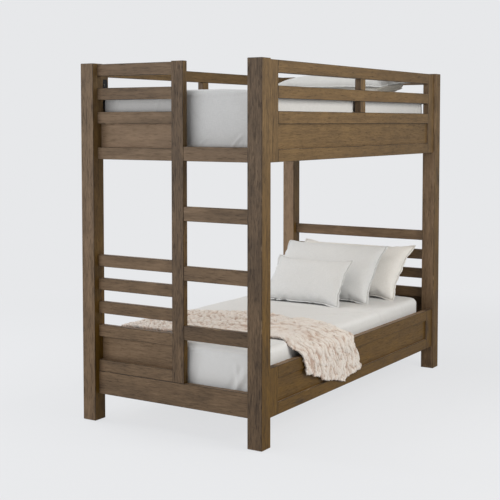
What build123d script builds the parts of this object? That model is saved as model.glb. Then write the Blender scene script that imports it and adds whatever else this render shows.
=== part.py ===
from build123d import *
import os

# Bunk bed with a fixed ladder, in millimetres. X runs across the bed, Y along it, Z up.
# The origin is on the floor, at the centre of the four posts. The foot end, with the
# ladder, faces -Y; the right-hand side of someone facing the foot end is +X.

# Mattresses. The bed's width and length follow from them.
mattress_width = 964.0
mattress_length = 1890.0
mattress_height = 265.0
mattress_corner = 60.0
mattress_ease = 25.0
upper_mattress_height = 280.0
upper_mattress_corner = 28.0
upper_mattress_ease = 20.0
mattress_side_gap = 13.5      # mattress to side frame
mattress_end_gap = 35.0       # mattress to posts, at each end, when it lies in the middle
low_mattress_gap = 2.0        # foot posts to the low mattress, which is pushed against them
upper_mattress_gap = 20.0

# Corner posts
post_size = 80.0
post_ease = 3.0               # rounding of the long edges
post_rise = 4.0               # top rails to the top of the posts
glide_radius = 20.0
glide_height = 4.0            # nylon glide under each post
glide_pin_radius = 4.0
glide_pin_length = 18.0
glide_pin_play = 0.1

# Pattern shared by both ends and both guards: two rails with a panel between them,
# then open gaps, each with a rail above it
rail_width = 60.0
panel_height = 120.0
open_gap = 60.0
low_gap_count = 3
upper_gap_count = 2
low_frame_bottom = 140.0
upper_frame_bottom = 1345.0

# End frames
end_rail_thickness = 31.0
end_depth = 64.0              # posts' outer face to the plane of the rails' back faces
end_panel_thickness = 12.0
end_panel_lap = 20.0          # how far a panel runs behind its rails
end_panel_play = 0.4          # between a panel and the posts
base_rail_height = 117.0
base_rail_thickness = 34.0

# Ladder, fixed between its own post and the right-hand foot post
rung_length = 384.0           # clear width of the ladder
rung_height = 70.0
rung_thickness = 31.0
rung_pitch = 290.5
rung_names = ("high", "middle", "low")
ladder_post_width = 70.0
ladder_post_thickness = 34.0

# Side frames: two low side rails and two guards, each of stiles, rails and a panel
side_thickness = 34.0
side_setback = 10.0           # post face to frame face
stile_width = 85.0
low_side_panel_height = 116.0
side_panel_thickness = 12.0
side_panel_setback = 10.0     # frame face to panel face
side_panel_groove = 8.0
groove_play = 0.3
guard_block_width = 60.0      # short uprights at the middle of a guard

# Joinery
board_ease = 1.5              # chamfer on every board that shows, so that joints meet in a V
tenon_thickness = 12.0
tenon_shoulder = 10.0
tenon_length = 25.0
block_tenon_length = 14.0
tenon_play = 0.2
tenon_end_play = 1.0

# Steel corner brackets and their bolts
bracket_leg_side = 75.0
bracket_leg_post = 33.0
bracket_thickness = 3.0
bracket_corner = 6.0          # clipped off a leg's free corners
bracket_height = 150.0
low_bracket_lift = 8.0        # slats to the underside of a low bracket
guard_bracket_drop = 73.0     # top of a guard to the top of its brackets
bolt_radius = 4.0
bolt_head_radius = 7.5        # hexagon, across its corners
bolt_head_height = 5.0
bolt_grip = 20.0              # length inside the wood
head_sides = 6
shank_sides = 8
bolt_hole_play = 0.1
bolt_inset = 30.0             # end of a bracket to the nearest bolt
bolt_side_offset = 45.0       # post to bolt, along the side frame
bolt_post_offset = 18.0       # side frame to bolt, across the post

# Mattress supports
cleat_width = 25.0
cleat_height = 30.0
cleat_end_gap = 2.0
slat_count = 14
slat_width = 70.0
slat_thickness = 18.0
slat_end_play = 1.0
slat_end_margin = 20.0        # post to the first slat
low_support_rise = 50.0       # underside of the side frame to the top of its slats
upper_support_rise = 59.0

# Pillows: width, height and thickness, then the centre across the bed, the distance
# from the head posts to the front edge, and the lean in degrees. The upper two are a
# pile, lowest first.
soft_play = 0.4               # between soft pieces and what carries them
pillow_rim = 16.0
low_pillows = {
    "back_pillow": ((764.0, 430.0, 120.0), (11.0, 297.0, 43.0)),
    "middle_pillow": ((715.0, 490.0, 125.0), (-35.0, 528.0, 37.5)),
    "lumbar_pillow": ((530.0, 347.0, 105.0), (-28.0, 708.0, 44.0)),
}
upper_pillows = {
    "upper_back_pillow": ((762.0, 415.0, 66.0), (32.0, 480.0, 5.0)),
    "upper_front_pillow": ((757.0, 415.0, 66.0), (28.0, 480.0, 5.0)),
}

# Throw, laid across the low mattress and hanging over both side rails. Its edges are
# measured from the foot posts, and its drops from the top of a side rail.
throw_thickness = 14.0
throw_hang_thickness = 9.2
throw_rail_gap = 6.0          # side rail to where the throw turns down
throw_front_right = 280.0
throw_back_right = 715.0
throw_front_left = 130.0
throw_back_left = 580.0
throw_left_drop = 130.0
throw_front_corner = (340.0, 114.0)   # lower corners on the right: reach and drop
throw_low_corner = (730.0, 206.0)
throw_back_corner = (940.0, 161.0)


def span(start, size):
    return (start, start + size)


def around(middle, size):
    return (middle - size / 2, middle + size / 2)


def grow(pair, by):
    return (pair[0] - by, pair[1] + by)


def flip(pair):
    return (-pair[1], -pair[0])


def box(xs, ys, zs):
    sizes = [high - low for low, high in (xs, ys, zs)]
    middles = [(high + low) / 2 for low, high in (xs, ys, zs)]
    return Pos(*middles) * Box(*sizes)


def bar(section, start, end, axis):
    """A section drawn out between two points along one axis, 0 for X, 1 for Y or 2 for Z."""
    middle = [(low + high) / 2 for low, high in zip(start, end)]
    turn = (Rot(0, 90, 0), Rot(90, 0, 0), Rot(0, 0, 0))[axis]
    length = abs(end[axis] - start[axis])
    return Pos(*middle) * turn * extrude(section, length / 2, both=True)


def shank(radius):
    """Section of a bolt or pin, with few sides because so many repeat."""
    return RegularPolygon(radius, shank_sides)


def four_corners(piece):
    """A piece at the +X +Y corner, and its mirror images at the other three."""
    pair = [piece, piece.mirror(Plane.YZ)]
    return pair + [one.mirror(Plane.XZ) for one in pair]


# Places that follow from the sizes

half_width = mattress_width / 2 + mattress_side_gap + side_thickness + side_setback
half_length = mattress_length / 2 + mattress_end_gap + post_size
inner_x = half_width - post_size
inner_y = half_length - post_size
side_outer = half_width - side_setback
side_inner = side_outer - side_thickness
ladder_right = inner_x - rung_length
ladder_left = ladder_right - ladder_post_width
low_end_bottom = low_frame_bottom + base_rail_height
low_support_top = low_frame_bottom + low_support_rise
upper_support_top = upper_frame_bottom + upper_support_rise

upper_sizes = [rail_width, panel_height, rail_width] + [open_gap, rail_width] * upper_gap_count
low_end_sizes = [rail_width, panel_height, rail_width] + [open_gap, rail_width] * low_gap_count
low_side_sizes = [rail_width, low_side_panel_height, rail_width]
low_side_top = low_frame_bottom + sum(low_side_sizes)
guard_top = upper_frame_bottom + sum(upper_sizes)
post_top = guard_top + post_rise
bracket_bottoms = (low_support_top + low_bracket_lift,
                   guard_top - guard_bracket_drop - bracket_height)

nodes = {}


# Boards. Each is kept as its three ranges, so that mortises and grooves follow it.

def tenon_boxes(ranges, along, length, play=0.0, end_play=0.0):
    """A board's two tenons, or with play the mortises that take them."""
    thin, wide = sorted((axis for axis in range(3) if axis != along),
                        key=lambda axis: ranges[axis][1] - ranges[axis][0])
    section = [None, None, None]
    section[thin] = around(sum(ranges[thin]) / 2, tenon_thickness + 2 * play)
    section[wide] = grow(ranges[wide], play - tenon_shoulder)
    low, high = ranges[along]
    reach = length + end_play
    boxes = []
    for ends in ((low - reach, low), (high, high + reach)):
        section[along] = ends
        boxes.append(box(*section))
    return boxes


def board(ranges):
    return chamfer(box(*ranges).edges(), board_ease)


def tenoned(ranges, along, length=tenon_length):
    return board(ranges) + tenon_boxes(ranges, along, length)


def mortised(piece, boards, along, length=tenon_length):
    """A piece with mortises for the tenons of those boards that end in it."""
    for ranges in boards:
        piece -= tenon_boxes(ranges, along, length, tenon_play, tenon_end_play)
    return piece


def stack(bottom, sizes):
    """Heights of boards and gaps laid one on another, from the bottom up."""
    levels = []
    for size in sizes:
        levels.append(span(bottom, size))
        bottom += size
    return levels


# End frames

def depth(face, thickness):
    """Range along the bed of a board whose back face lies in an end's common plane."""
    return span(face + end_depth - thickness, thickness)


def end_frame(name, face, xs, panel_xs, bottom, sizes):
    """Make the rails, slats and back panel between two uprights; return the rails' ranges."""
    ys = depth(face, end_rail_thickness)
    levels = stack(bottom, sizes)
    rails = [(xs, ys, zs) for zs in levels[:1] + levels[2::2]]
    nodes[name + "_bottom_rail"] = tenoned(rails[0], along=0)
    nodes[name + "_slats"] = [tenoned(ranges, along=0) for ranges in rails[1:-1]]
    nodes[name + "_top_rail"] = tenoned(rails[-1], along=0)
    panel_ys = span(ys[1], end_panel_thickness)
    nodes[name + "_panel"] = box(panel_xs, panel_ys, grow(levels[1], end_panel_lap))
    return rails


def base_rail(face):
    return (between_posts, depth(face, base_rail_thickness),
            (low_frame_bottom, low_end_bottom))


foot_face = -half_length
head_face = inner_y
between_posts = (-inner_x, inner_x)
left_bay = (-inner_x, ladder_left)
foot_panel = (-inner_x + end_panel_play, (ladder_left + ladder_right) / 2)
head_panel = grow(between_posts, -end_panel_play)

foot_rails = (
    end_frame("foot_low", foot_face, left_bay, foot_panel, low_end_bottom, low_end_sizes)
    + end_frame("foot_upper", foot_face, left_bay, foot_panel, upper_frame_bottom, upper_sizes))
head_rails = (
    end_frame("head_low", head_face, between_posts, head_panel, low_end_bottom, low_end_sizes)
    + end_frame("head_upper", head_face, between_posts, head_panel,
                upper_frame_bottom, upper_sizes))

# Ladder, whose post stands in the foot base rail

ladder_post = ((ladder_left, ladder_right), depth(foot_face, ladder_post_thickness),
               (low_end_bottom, post_top))
rung_ys = around(sum(ladder_post[1]) / 2, rung_thickness)
rungs = [((ladder_right, inner_x), rung_ys,
          span(upper_frame_bottom - step * rung_pitch, rung_height))
         for step in range(len(rung_names) + 1)]
nodes["ladder_top_step"] = tenoned(rungs[0], along=0)
for rung_name, ranges in zip(rung_names, rungs[1:]):
    nodes["ladder_" + rung_name + "_rung"] = tenoned(ranges, along=0)

ladder_foot = tenon_boxes(ladder_post, 2, tenon_length)[0]
nodes["ladder_post"] = mortised(board(ladder_post) + ladder_foot, foot_rails + rungs, along=0)

foot_base = base_rail(foot_face)
head_base = base_rail(head_face)
nodes["foot_base_rail"] = mortised(tenoned(foot_base, along=0), [ladder_post], along=2)
nodes["head_base_rail"] = tenoned(head_base, along=0)

# Steel brackets at the corners, made for the +X +Y corner and mirrored

bracket_face = side_inner - bracket_thickness
bracket_end = inner_y - bracket_thickness


def bracket_bolts(bottom):
    """For the two bolts in each leg: start of the head, seat, tip, and the axis."""
    bolts = []
    y = inner_y - bolt_side_offset
    x = side_inner - bolt_post_offset
    for z in grow(span(bottom, bracket_height), -bolt_inset):
        bolts.append(((bracket_face - bolt_head_height, y, z), (bracket_face, y, z),
                      (side_inner + bolt_grip, y, z), 0))
        bolts.append(((x, bracket_end - bolt_head_height, z), (x, bracket_end, z),
                      (x, inner_y + bolt_grip, z), 1))
    return bolts


def bolt(start, seat, tip, axis):
    head = bar(RegularPolygon(bolt_head_radius, head_sides), start, seat, axis)
    return head + bar(shank(bolt_radius), seat, tip, axis)


def bolt_holes(bottom):
    return [bar(shank(bolt_radius + bolt_hole_play), seat, tip, axis)
            for _, seat, tip, axis in bracket_bolts(bottom)]


def leg(xs, ys, zs, through, outward):
    """One leg of a bracket, with its two free corners clipped."""
    body = box(xs, ys, zs)
    corners = body.edges().filter_by(through).sort_by(outward)[:2]
    return chamfer(corners, bracket_corner)


def bracket(bottom):
    zs = span(bottom, bracket_height)
    side_leg = leg((bracket_face, side_inner), (inner_y - bracket_leg_side, inner_y), zs,
                   Axis.X, Axis.Y)
    post_leg = leg((side_inner - bracket_leg_post, side_inner), (bracket_end, inner_y), zs,
                   Axis.Y, Axis.X)
    return side_leg + post_leg - bolt_holes(bottom)


bolt_cuts = [one for bottom in bracket_bottoms for hole in bolt_holes(bottom)
             for one in four_corners(hole)]
nodes["corner_brackets"] = [one for bottom in bracket_bottoms
                            for one in four_corners(bracket(bottom))]
nodes["bracket_bolts"] = [one for bottom in bracket_bottoms for place in bracket_bolts(bottom)
                          for one in four_corners(bolt(*place))]

# Side frames: the low side rails and the guards

nodes["guard_blocks"] = []


def side_frame(name, side, bottom, sizes):
    """Make the stiles, rails, panel and centre blocks of the frame on one side."""
    def across(xs):
        return xs if side > 0 else flip(xs)

    xs = across((side_inner, side_outer))
    stile_ys = (inner_y - stile_width, inner_y)
    rail_ys = (-stile_ys[0], stile_ys[0])
    frame_zs = span(bottom, sum(sizes))
    levels = stack(bottom, sizes)
    rails = [(xs, rail_ys, zs) for zs in levels[:1] + levels[2::2]]
    blocks = [(xs, around(0, guard_block_width), zs) for zs in levels[3::2]]
    panel_out = side_outer - side_panel_setback
    panel = (across((panel_out - side_panel_thickness, panel_out)),
             grow(rail_ys, side_panel_groove), grow(levels[1], side_panel_groove))
    groove = box(*(grow(pair, groove_play) for pair in panel))

    nodes[name + "_stiles"] = [
        mortised(board((xs, ys, frame_zs)), rails, along=1) - groove - bolt_cuts
        for ys in (flip(stile_ys), stile_ys)]
    made = [mortised(tenoned(ranges, along=1), blocks, 2, block_tenon_length) - groove
            for ranges in rails]
    nodes[name + "_bottom_rail"] = made[0]
    if blocks:
        nodes[name + "_slats"] = made[1:-1]
    nodes[name + "_top_rail"] = made[-1]
    nodes[name + "_panel"] = box(*panel)
    nodes["guard_blocks"] += [tenoned(ranges, 2, block_tenon_length) for ranges in blocks]


for side, side_name in ((1, "right"), (-1, "left")):
    side_frame(side_name + "_side", side, low_frame_bottom, low_side_sizes)
    side_frame(side_name + "_guard", side, upper_frame_bottom, upper_sizes)

# Corner posts and their glides

post_x = (inner_x, half_width)
post_y = (inner_y, half_length)
glide_x = sum(post_x) / 2
glide_y = sum(post_y) / 2


def glide_pin(play):
    return bar(shank(glide_pin_radius + play), (glide_x, glide_y, glide_height),
               (glide_x, glide_y, glide_height + glide_pin_length + play), 2)


pin_sockets = four_corners(glide_pin(glide_pin_play))


def corner_post(xs, ys, boards):
    body = box(xs, ys, (glide_height, post_top))
    body = fillet(body.edges().filter_by(Axis.Z), post_ease)
    body = chamfer(body.faces().sort_by(Axis.Z)[-1].edges(), board_ease)
    return mortised(body, boards, along=0) - bolt_cuts - pin_sockets


nodes["foot_left_post"] = corner_post(flip(post_x), flip(post_y), foot_rails + [foot_base])
nodes["foot_right_post"] = corner_post(post_x, flip(post_y), rungs + [foot_base])
nodes["head_left_post"] = corner_post(flip(post_x), post_y, head_rails + [head_base])
nodes["head_right_post"] = corner_post(post_x, post_y, head_rails + [head_base])

glide = bar(Circle(glide_radius), (glide_x, glide_y, 0), (glide_x, glide_y, glide_height), 2)
nodes["floor_glides"] = four_corners(glide + glide_pin(0))

# Mattress supports


def support(top):
    """Cleats on the two side frames, and the slats that lie on them."""
    slat_zs = (top - slat_thickness, top)
    cleat_zs = (slat_zs[0] - cleat_height, slat_zs[0])
    cleat_ys = grow((-inner_y, inner_y), -cleat_end_gap)
    cleat_xs = (side_inner - cleat_width, side_inner)
    cleats = [box(xs, cleat_ys, cleat_zs) for xs in (cleat_xs, flip(cleat_xs))]
    slat_xs = grow((-side_inner, side_inner), -slat_end_play)
    first = -inner_y + slat_end_margin
    pitch = (-2 * first - slat_width) / (slat_count - 1)
    slats = [box(slat_xs, span(first + place * pitch, slat_width), slat_zs)
             for place in range(slat_count)]
    return cleats, slats


low_cleats, nodes["low_support_slats"] = support(low_support_top)
upper_cleats, nodes["upper_support_slats"] = support(upper_support_top)
nodes["support_cleats"] = low_cleats + upper_cleats

# Mattresses


def mattress(support_top, foot_gap, height, corner, ease):
    ys = span(-inner_y + foot_gap, mattress_length)
    body = box(around(0, mattress_width), ys, span(support_top, height))
    body = fillet(body.edges().filter_by(Axis.Z), corner)
    caps = body.faces().sort_by(Axis.Z)
    return chamfer(caps[0].edges() + caps[-1].edges(), ease)


nodes["low_mattress"] = mattress(low_support_top, low_mattress_gap, mattress_height,
                                 mattress_corner, mattress_ease)
nodes["upper_mattress"] = mattress(upper_support_top, upper_mattress_gap, upper_mattress_height,
                                   upper_mattress_corner, upper_mattress_ease)

# Pillows


def lens(length, thickness):
    """Section of a pillow: two shallow arcs that meet a narrow rim."""
    end = length / 2
    rim = pillow_rim / 2
    crown = ThreePointArc((-end, rim), (0, thickness / 2), (end, rim))
    belly = ThreePointArc((end, -rim), (0, -thickness / 2), (-end, -rim))
    return make_face([crown, Line((end, rim), (end, -rim)), belly, Line((-end, -rim), (-end, rim))])


def pillow(size, place, mattress_top, pile=0.0):
    """A pillow, leant back on the mattress or on a pile of others, measured square to it."""
    width, height, thickness = size
    middle, reach, lean = place
    body = (extrude(Plane.YZ * lens(height, thickness), width, both=True).solid()
            & extrude(Plane.XZ * lens(width, thickness), height, both=True).solid())
    leant = Rot(lean, 0, 0)
    low = (leant * body).bounding_box().min
    rest = mattress_top + soft_play
    return Pos(middle, inner_y - reach - low.Y, rest - low.Z) * leant * Pos(0, 0, pile) * body


low_mattress_top = low_support_top + mattress_height
upper_mattress_top = upper_support_top + upper_mattress_height
for pillow_name, (size, place) in low_pillows.items():
    nodes[pillow_name] = pillow(size, place, low_mattress_top)
upper_pile = 0.0
for pillow_name, (size, place) in upper_pillows.items():
    nodes[pillow_name] = pillow(size, place, upper_mattress_top, upper_pile)
    upper_pile += size[2] + soft_play

# Throw


def throw_band():
    """The throw's section, over the mattress and down past both side rails."""
    def mirrored(points):
        return [(-x, z) for x, z in reversed(points)]

    top = low_mattress_top + soft_play
    edge = mattress_width / 2
    shoulder = top - mattress_ease
    hang_in = side_outer + soft_play
    hang_out = hang_in + throw_hang_thickness
    turn = low_side_top + throw_rail_gap
    outside = [(hang_out, 0), (hang_out, turn + throw_rail_gap),
               (edge + throw_thickness, shoulder + throw_thickness),
               (edge - mattress_ease, top + throw_thickness)]
    inside = [(edge - mattress_ease, top), (edge + soft_play, shoulder),
              (hang_in, turn), (hang_in, 0)]
    profile = Polyline(*outside, *mirrored(outside), *mirrored(inside), *inside, close=True)
    return extrude(Plane.XZ * make_face(profile), half_length, both=True).solid()


def throw_outline():
    """Everything inside the throw's edges: its top, its right corner and its left drop."""
    def lower(corner):
        reach, drop = corner
        return (reach - inner_y, low_side_top - drop)

    edge = mattress_width / 2 - mattress_ease
    front_right = throw_front_right - inner_y
    back_right = throw_back_right - inner_y
    front_left = throw_front_left - inner_y
    back_left = throw_back_left - inner_y
    shoulder = low_mattress_top
    plan = Polyline((edge, front_right), (edge, back_right), (-edge, back_left),
                    (-edge, front_left), close=True)
    hang = Polyline((front_right, post_top), lower(throw_front_corner), lower(throw_low_corner),
                    lower(throw_back_corner), (back_right, shoulder), (back_right, post_top),
                    close=True)
    left_hang = box((-half_width, -edge), (front_left, back_left),
                    (low_side_top - throw_left_drop, post_top))
    right_hang = Pos(edge, 0, 0) * extrude(Plane.YZ * make_face(hang), half_width)
    return (extrude(make_face(plan), post_top) + right_hang + left_hang).solid()


nodes["throw"] = throw_band() & throw_outline()

os.makedirs("parts", exist_ok=True)
for name, shape in nodes.items():
    solid = Compound(children=list(shape)) if isinstance(shape, list) else shape
    export_step(solid, os.path.join("parts", name + ".step"))
    print(name, round(solid.volume))
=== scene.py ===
import math

import bmesh
import bpy
from mathutils import Matrix, Vector, noise


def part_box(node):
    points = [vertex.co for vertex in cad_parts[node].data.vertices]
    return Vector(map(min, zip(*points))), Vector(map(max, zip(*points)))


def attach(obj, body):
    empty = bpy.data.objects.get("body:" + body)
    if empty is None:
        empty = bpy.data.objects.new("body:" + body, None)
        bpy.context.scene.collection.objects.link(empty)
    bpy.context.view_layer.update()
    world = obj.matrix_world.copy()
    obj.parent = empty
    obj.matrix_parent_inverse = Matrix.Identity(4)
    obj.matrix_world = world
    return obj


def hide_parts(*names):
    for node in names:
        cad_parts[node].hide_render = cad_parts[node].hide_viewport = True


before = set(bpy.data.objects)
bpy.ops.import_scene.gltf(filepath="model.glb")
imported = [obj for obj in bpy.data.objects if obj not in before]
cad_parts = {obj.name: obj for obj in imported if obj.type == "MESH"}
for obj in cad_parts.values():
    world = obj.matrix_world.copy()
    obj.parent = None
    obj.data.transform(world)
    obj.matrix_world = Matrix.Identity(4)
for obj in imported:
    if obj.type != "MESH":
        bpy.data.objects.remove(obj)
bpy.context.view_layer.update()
scene = bpy.context.scene
scene.view_settings.view_transform = "Standard"
print("frame loaded:", len(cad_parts), "nodes")


def rgb(red, green, blue):
    # a colour as a paint program shows it, 0 to 255, to the renderer's linear values
    def linear(value):
        value = value / 255
        return value / 12.92 if value <= 0.04045 else ((value + 0.055) / 1.055) ** 2.4
    return (linear(red), linear(green), linear(blue), 1.0)


# Shader maths: a Wire is one output socket, and maths on wires adds Math nodes
class Wire:
    def __init__(self, tree, socket=None):
        self.tree = tree
        self.socket = socket

    def add(self, kind, settings=None, values=None, output=0):
        made = self.tree.nodes.new(kind)
        for name, value in (settings or {}).items():
            if name == "stops":
                self.setStops(made.color_ramp, value)
            else:
                setattr(made, name, value)
        for name, value in (values or {}).items():
            if isinstance(value, Wire):
                self.tree.links.new(value.socket, made.inputs[name])
            else:
                made.inputs[name].default_value = value
        return Wire(self.tree, made.outputs[output])

    def other(self, output):
        # another output of the same node
        return Wire(self.tree, self.socket.node.outputs[output])

    def setStops(self, ramp, stops):
        while len(ramp.elements) < len(stops):
            ramp.elements.new(0.5)
        for element, (position, colour) in zip(ramp.elements, stops):
            element.position = position
            element.color = colour

    def maths(self, operation, first, second):
        return self.add("ShaderNodeMath", {"operation": operation}, {0: first, 1: second})

    def __add__(self, other):
        return self.maths("ADD", self, other)

    def __radd__(self, other):
        return self.maths("ADD", other, self)

    def __sub__(self, other):
        return self.maths("SUBTRACT", self, other)

    def __rsub__(self, other):
        return self.maths("SUBTRACT", other, self)

    def __mul__(self, other):
        return self.maths("MULTIPLY", self, other)

    def __rmul__(self, other):
        return self.maths("MULTIPLY", other, self)

    def size(self):
        # without its sign
        return self.maths("ABSOLUTE", self, 0.0)

    def atLeast(self, other):
        return self.maths("MAXIMUM", self, other)

    def between(self, low, high):
        # 0 below low, 1 above high, and smooth in the middle
        return self.add("ShaderNodeMapRange", {"interpolation_type": "SMOOTHSTEP"},
                        {"Value": self, "From Min": low, "From Max": high})

    def scaled(self, vector):
        return self.add("ShaderNodeVectorMath", {"operation": "MULTIPLY"}, {0: self, 1: vector})

    def cloud(self, size, detail, roughness, distortion=0.0):
        # noise, where size counts features per metre along each axis
        return self.add("ShaderNodeTexNoise", values={
            "Vector": self.scaled(size), "Scale": 1.0, "Detail": detail,
            "Roughness": roughness, "Distortion": distortion})

    def mixed(self, first, second):
        # self is the factor between two colours
        return self.add("ShaderNodeMix", {"data_type": "RGBA"}, {0: self, 6: first, 7: second}, output=2)

    def tinted(self, colour):
        # this colour multiplied by another
        return self.add("ShaderNodeMix", {"data_type": "RGBA", "blend_type": "MULTIPLY"},
                        {0: 1.0, 6: self, 7: colour}, output=2)

    def bump(self, strength, distance, under=None):
        values = {"Strength": strength, "Distance": distance, "Height": self}
        if under:
            values["Normal"] = under
        return self.add("ShaderNodeBump", values=values)


def newMaterial(name, colour):
    material = bpy.data.materials.new(name)
    material.use_nodes = True
    material.diffuse_color = colour
    return material, material.node_tree, material.node_tree.nodes["Principled BSDF"]


def connect(tree, shader, links, settings):
    # wires to the shader's sockets, and plain values on the others
    for name, wire in links.items():
        tree.links.new(wire.socket, shader.inputs[name])
    for name, value in settings.items():
        shader.inputs[name].default_value = value


def objectPoint(tree):
    # the place on the bed, in metres
    return Wire(tree).add("ShaderNodeTexCoord", output=3)


def along(grain, lengthwise, across):
    # a size for each axis: one along the grain, and the other across it
    return tuple(lengthwise if axis == grain else across for axis in "XYZ")


# Stained wood, one material for each direction that the grain runs and each tone of board

stain = {
    "deep": rgb(46, 34, 23),
    "brown": rgb(100, 81, 61),
    "light": rgb(135, 112, 89),
    "endGrain": rgb(60, 45, 31),
    # dark stain and painted shade for the eased edges where boards meet
    "jointStainAndShade": rgb(22, 15, 9),
    "worn": rgb(140, 119, 92),
    # colour factors: painted side light on faces that look sideways high up, painted shade on them low
    # down, and a warmer tint low down on others
    "paintedSideLight": (0.82, 0.74, 0.45, 1.0),
    "paintedLowSideShade": (0.67, 0.50, 0.03, 1.0),
    "lowWarmth": (1.0, 0.97, 0.91, 1.0),
    # features per metre along the grain and across it, detail, roughness and distortion
    "noises": {
        "streaks": (8.0, 125.0, 4.0, 0.68, 0.2),
        "brush": (26.0, 420.0, 3.0, 0.65),
        "patches": (6.0, 15.0, 4.0, 0.6, 0.4),
        "boards": (0.35, 8.5, 1.0, 0.4),
        "flecks": (12.0, 90.0, 3.0, 0.55, 0.5),
        "dashes": (22.0, 270.0, 2.0, 0.5, 0.3),
        "pores": (900.0, 900.0, 2.0, 0.5),
    },
    "knots": (1.7, 5.2),
    # the figure's rings per metre, and how they are stretched along the grain and across it
    "figureRings": 9.0,
    "figureStretch": (0.12, 1.0),
    # where each starts and ends, in its own noise
    "fleckEdge": (0.56, 0.72),
    "dashEdge": (0.57, 0.66),
    "knotEdge": (0.03, 0.15),
    "wornEdge": (0.57, 0.69),
    # the same in how far a face looks sideways, up, along the grain and square to any axis
    "sideTurn": (0.5, 0.9),
    "topTurn": (0.6, 0.95),
    "endTurn": (0.8, 0.95),
    "squareTurn": (0.86, 0.985),
    # the heights between which the warmer tint changes, and between which side faces go from painted shade
    # to painted side light
    "warmthHeights": (0.5, 1.4),
    "paintedSideLightHeights": (0.1, 1.7),
    # how much they lighten or darken
    "streakContrast": 0.736,
    "brushContrast": 0.75,
    "patchContrast": 0.75,
    "boardContrast": 0.30,
    "figureContrast": 0.08,
    "fleckDepth": 0.22,
    "dashDepth": 0.30,
    "knotDepth": 0.34,
    "liveliness": {"X": 0.72, "Y": 0.70, "Z": 1.0},
    # lightness: of all wood, and what painted top light on faces looking up and a board's own tone add
    "middleTone": 0.535,
    "paintedTopLight": 0.28,
    "tones": {"Dark": -0.17, "": 0.0, "Pale": 0.12, "Palest": 0.34},
    "endDepth": 0.8,
    "jointStainAndShadeDepth": {"X": 1.0, "Y": 1.0, "Z": 0.85},
    "brushRelief": 0.0006,
    "roughness": 0.56,
    "gloss": 0.26,
}
boardTones = {
    "Dark": ("ladder_post", "ladder_low_rung", "right_side_panel", "foot_right_post"),
    "Pale": ("foot_low_panel", "head_right_post"),
    "Palest": ("foot_upper_panel", "head_left_post", "head_upper_top_rail"),
}


def grainNoises(point, grain, noises):
    # a table's noises, in its own order
    return [point.cloud(along(grain, *facts[:2]), *facts[2:]) for facts in noises.values()]


def stainedWood(grain, label):
    material, tree, shader = newMaterial("stainedWood" + grain + label, stain["brown"])
    point = objectPoint(tree)
    streaks, brush, patches, boards, flecks, dashes, pores = grainNoises(point, grain, stain["noises"])
    figure = point.add("ShaderNodeTexWave", {"wave_type": "RINGS", "rings_direction": grain},
                       {"Vector": point.scaled(along(grain, *stain["figureStretch"])),
                        "Scale": stain["figureRings"], "Distortion": 5.5, "Detail": 2.0,
                        "Detail Scale": 1.4}, output=1)
    knots = point.add("ShaderNodeTexVoronoi", values={
        "Vector": point.scaled(along(grain, *stain["knots"])), "Scale": 1.0})
    knot = 1 - knots.between(*stain["knotEdge"])
    specks = (flecks.between(*stain["fleckEdge"]) * stain["fleckDepth"]
              + dashes.between(*stain["dashEdge"]) * stain["dashDepth"])
    normal = Wire(tree).add("ShaderNodeNewGeometry", output=1)
    parts = normal.add("ShaderNodeSeparateXYZ", values={0: normal})
    facing = [parts.other(axis).size() for axis in range(3)]
    sideways = facing[0].between(*stain["sideTurn"])
    upward = parts.other(2).between(*stain["topTurn"])
    lively = ((streaks - 0.5) * stain["streakContrast"] + (brush - 0.5) * stain["brushContrast"]
              + (patches - 0.5) * stain["patchContrast"] - specks) * stain["liveliness"][grain]
    # faces looking up are lightened: painted top light
    tone = (stain["middleTone"] + (1 - sideways) * stain["tones"][label] + upward * stain["paintedTopLight"]
            + lively + (boards - 0.5) * stain["boardContrast"] + (figure - 0.5) * stain["figureContrast"]
            - knot * stain["knotDepth"])
    stops = [(0.0, stain["deep"]), (0.52, stain["brown"]), (1.0, stain["light"])]
    body = tone.add("ShaderNodeValToRGB", {"stops": stops}, {"Fac": tone})
    # warmer lower down; faces that look sideways instead get painted side light high up and painted shade
    # low down
    height = point.add("ShaderNodeSeparateXYZ", values={0: point}, output=2)
    warmth = height.between(*stain["warmthHeights"]).mixed(stain["lowWarmth"], (1.0, 1.0, 1.0, 1.0))
    sideHeight = height.between(*stain["paintedSideLightHeights"])
    paintedSideLight = sideHeight.mixed(stain["paintedLowSideShade"], stain["paintedSideLight"])
    body = body.tinted(sideways.mixed(warmth, paintedSideLight))
    # board ends soak up more stain
    ends = facing["XYZ".index(grain)].between(*stain["endTurn"]) * stain["endDepth"]
    body = ends.mixed(body, pores.mixed(stain["deep"], stain["endGrain"]))
    # eased edges darkened: stain held where boards meet and painted shade in the grooves between them,
    # rubbed through here and there
    square = facing[0].atLeast(facing[1]).atLeast(facing[2]).between(*stain["squareTurn"])
    edges = (1 - square) * stain["jointStainAndShadeDepth"][grain]
    body = edges.mixed(body, patches.between(*stain["wornEdge"]).mixed(stain["jointStainAndShade"], stain["worn"]))
    relief = streaks * 0.55 + brush * 0.45 - knot * 0.3
    connect(tree, shader, {"Base Color": body,
                           "Roughness": stain["roughness"] - (streaks - 0.5) * 0.22 + specks * 0.3,
                           "Normal": relief.bump(0.55, stain["brushRelief"])},
            {"Specular IOR Level": stain["gloss"]})
    return material


pineBoards = {
    "early": rgb(206, 178, 134),
    "late": rgb(176, 138, 92),
    "noises": {"rings": (1.4, 90.0, 2.0, 0.5, 0.3), "fibre": (30.0, 900.0, 2.0, 0.5),
               "boards": (0.2, 9.0, 1.0, 0.4)},
    "latewood": (0.42, 0.66),
}


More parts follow.
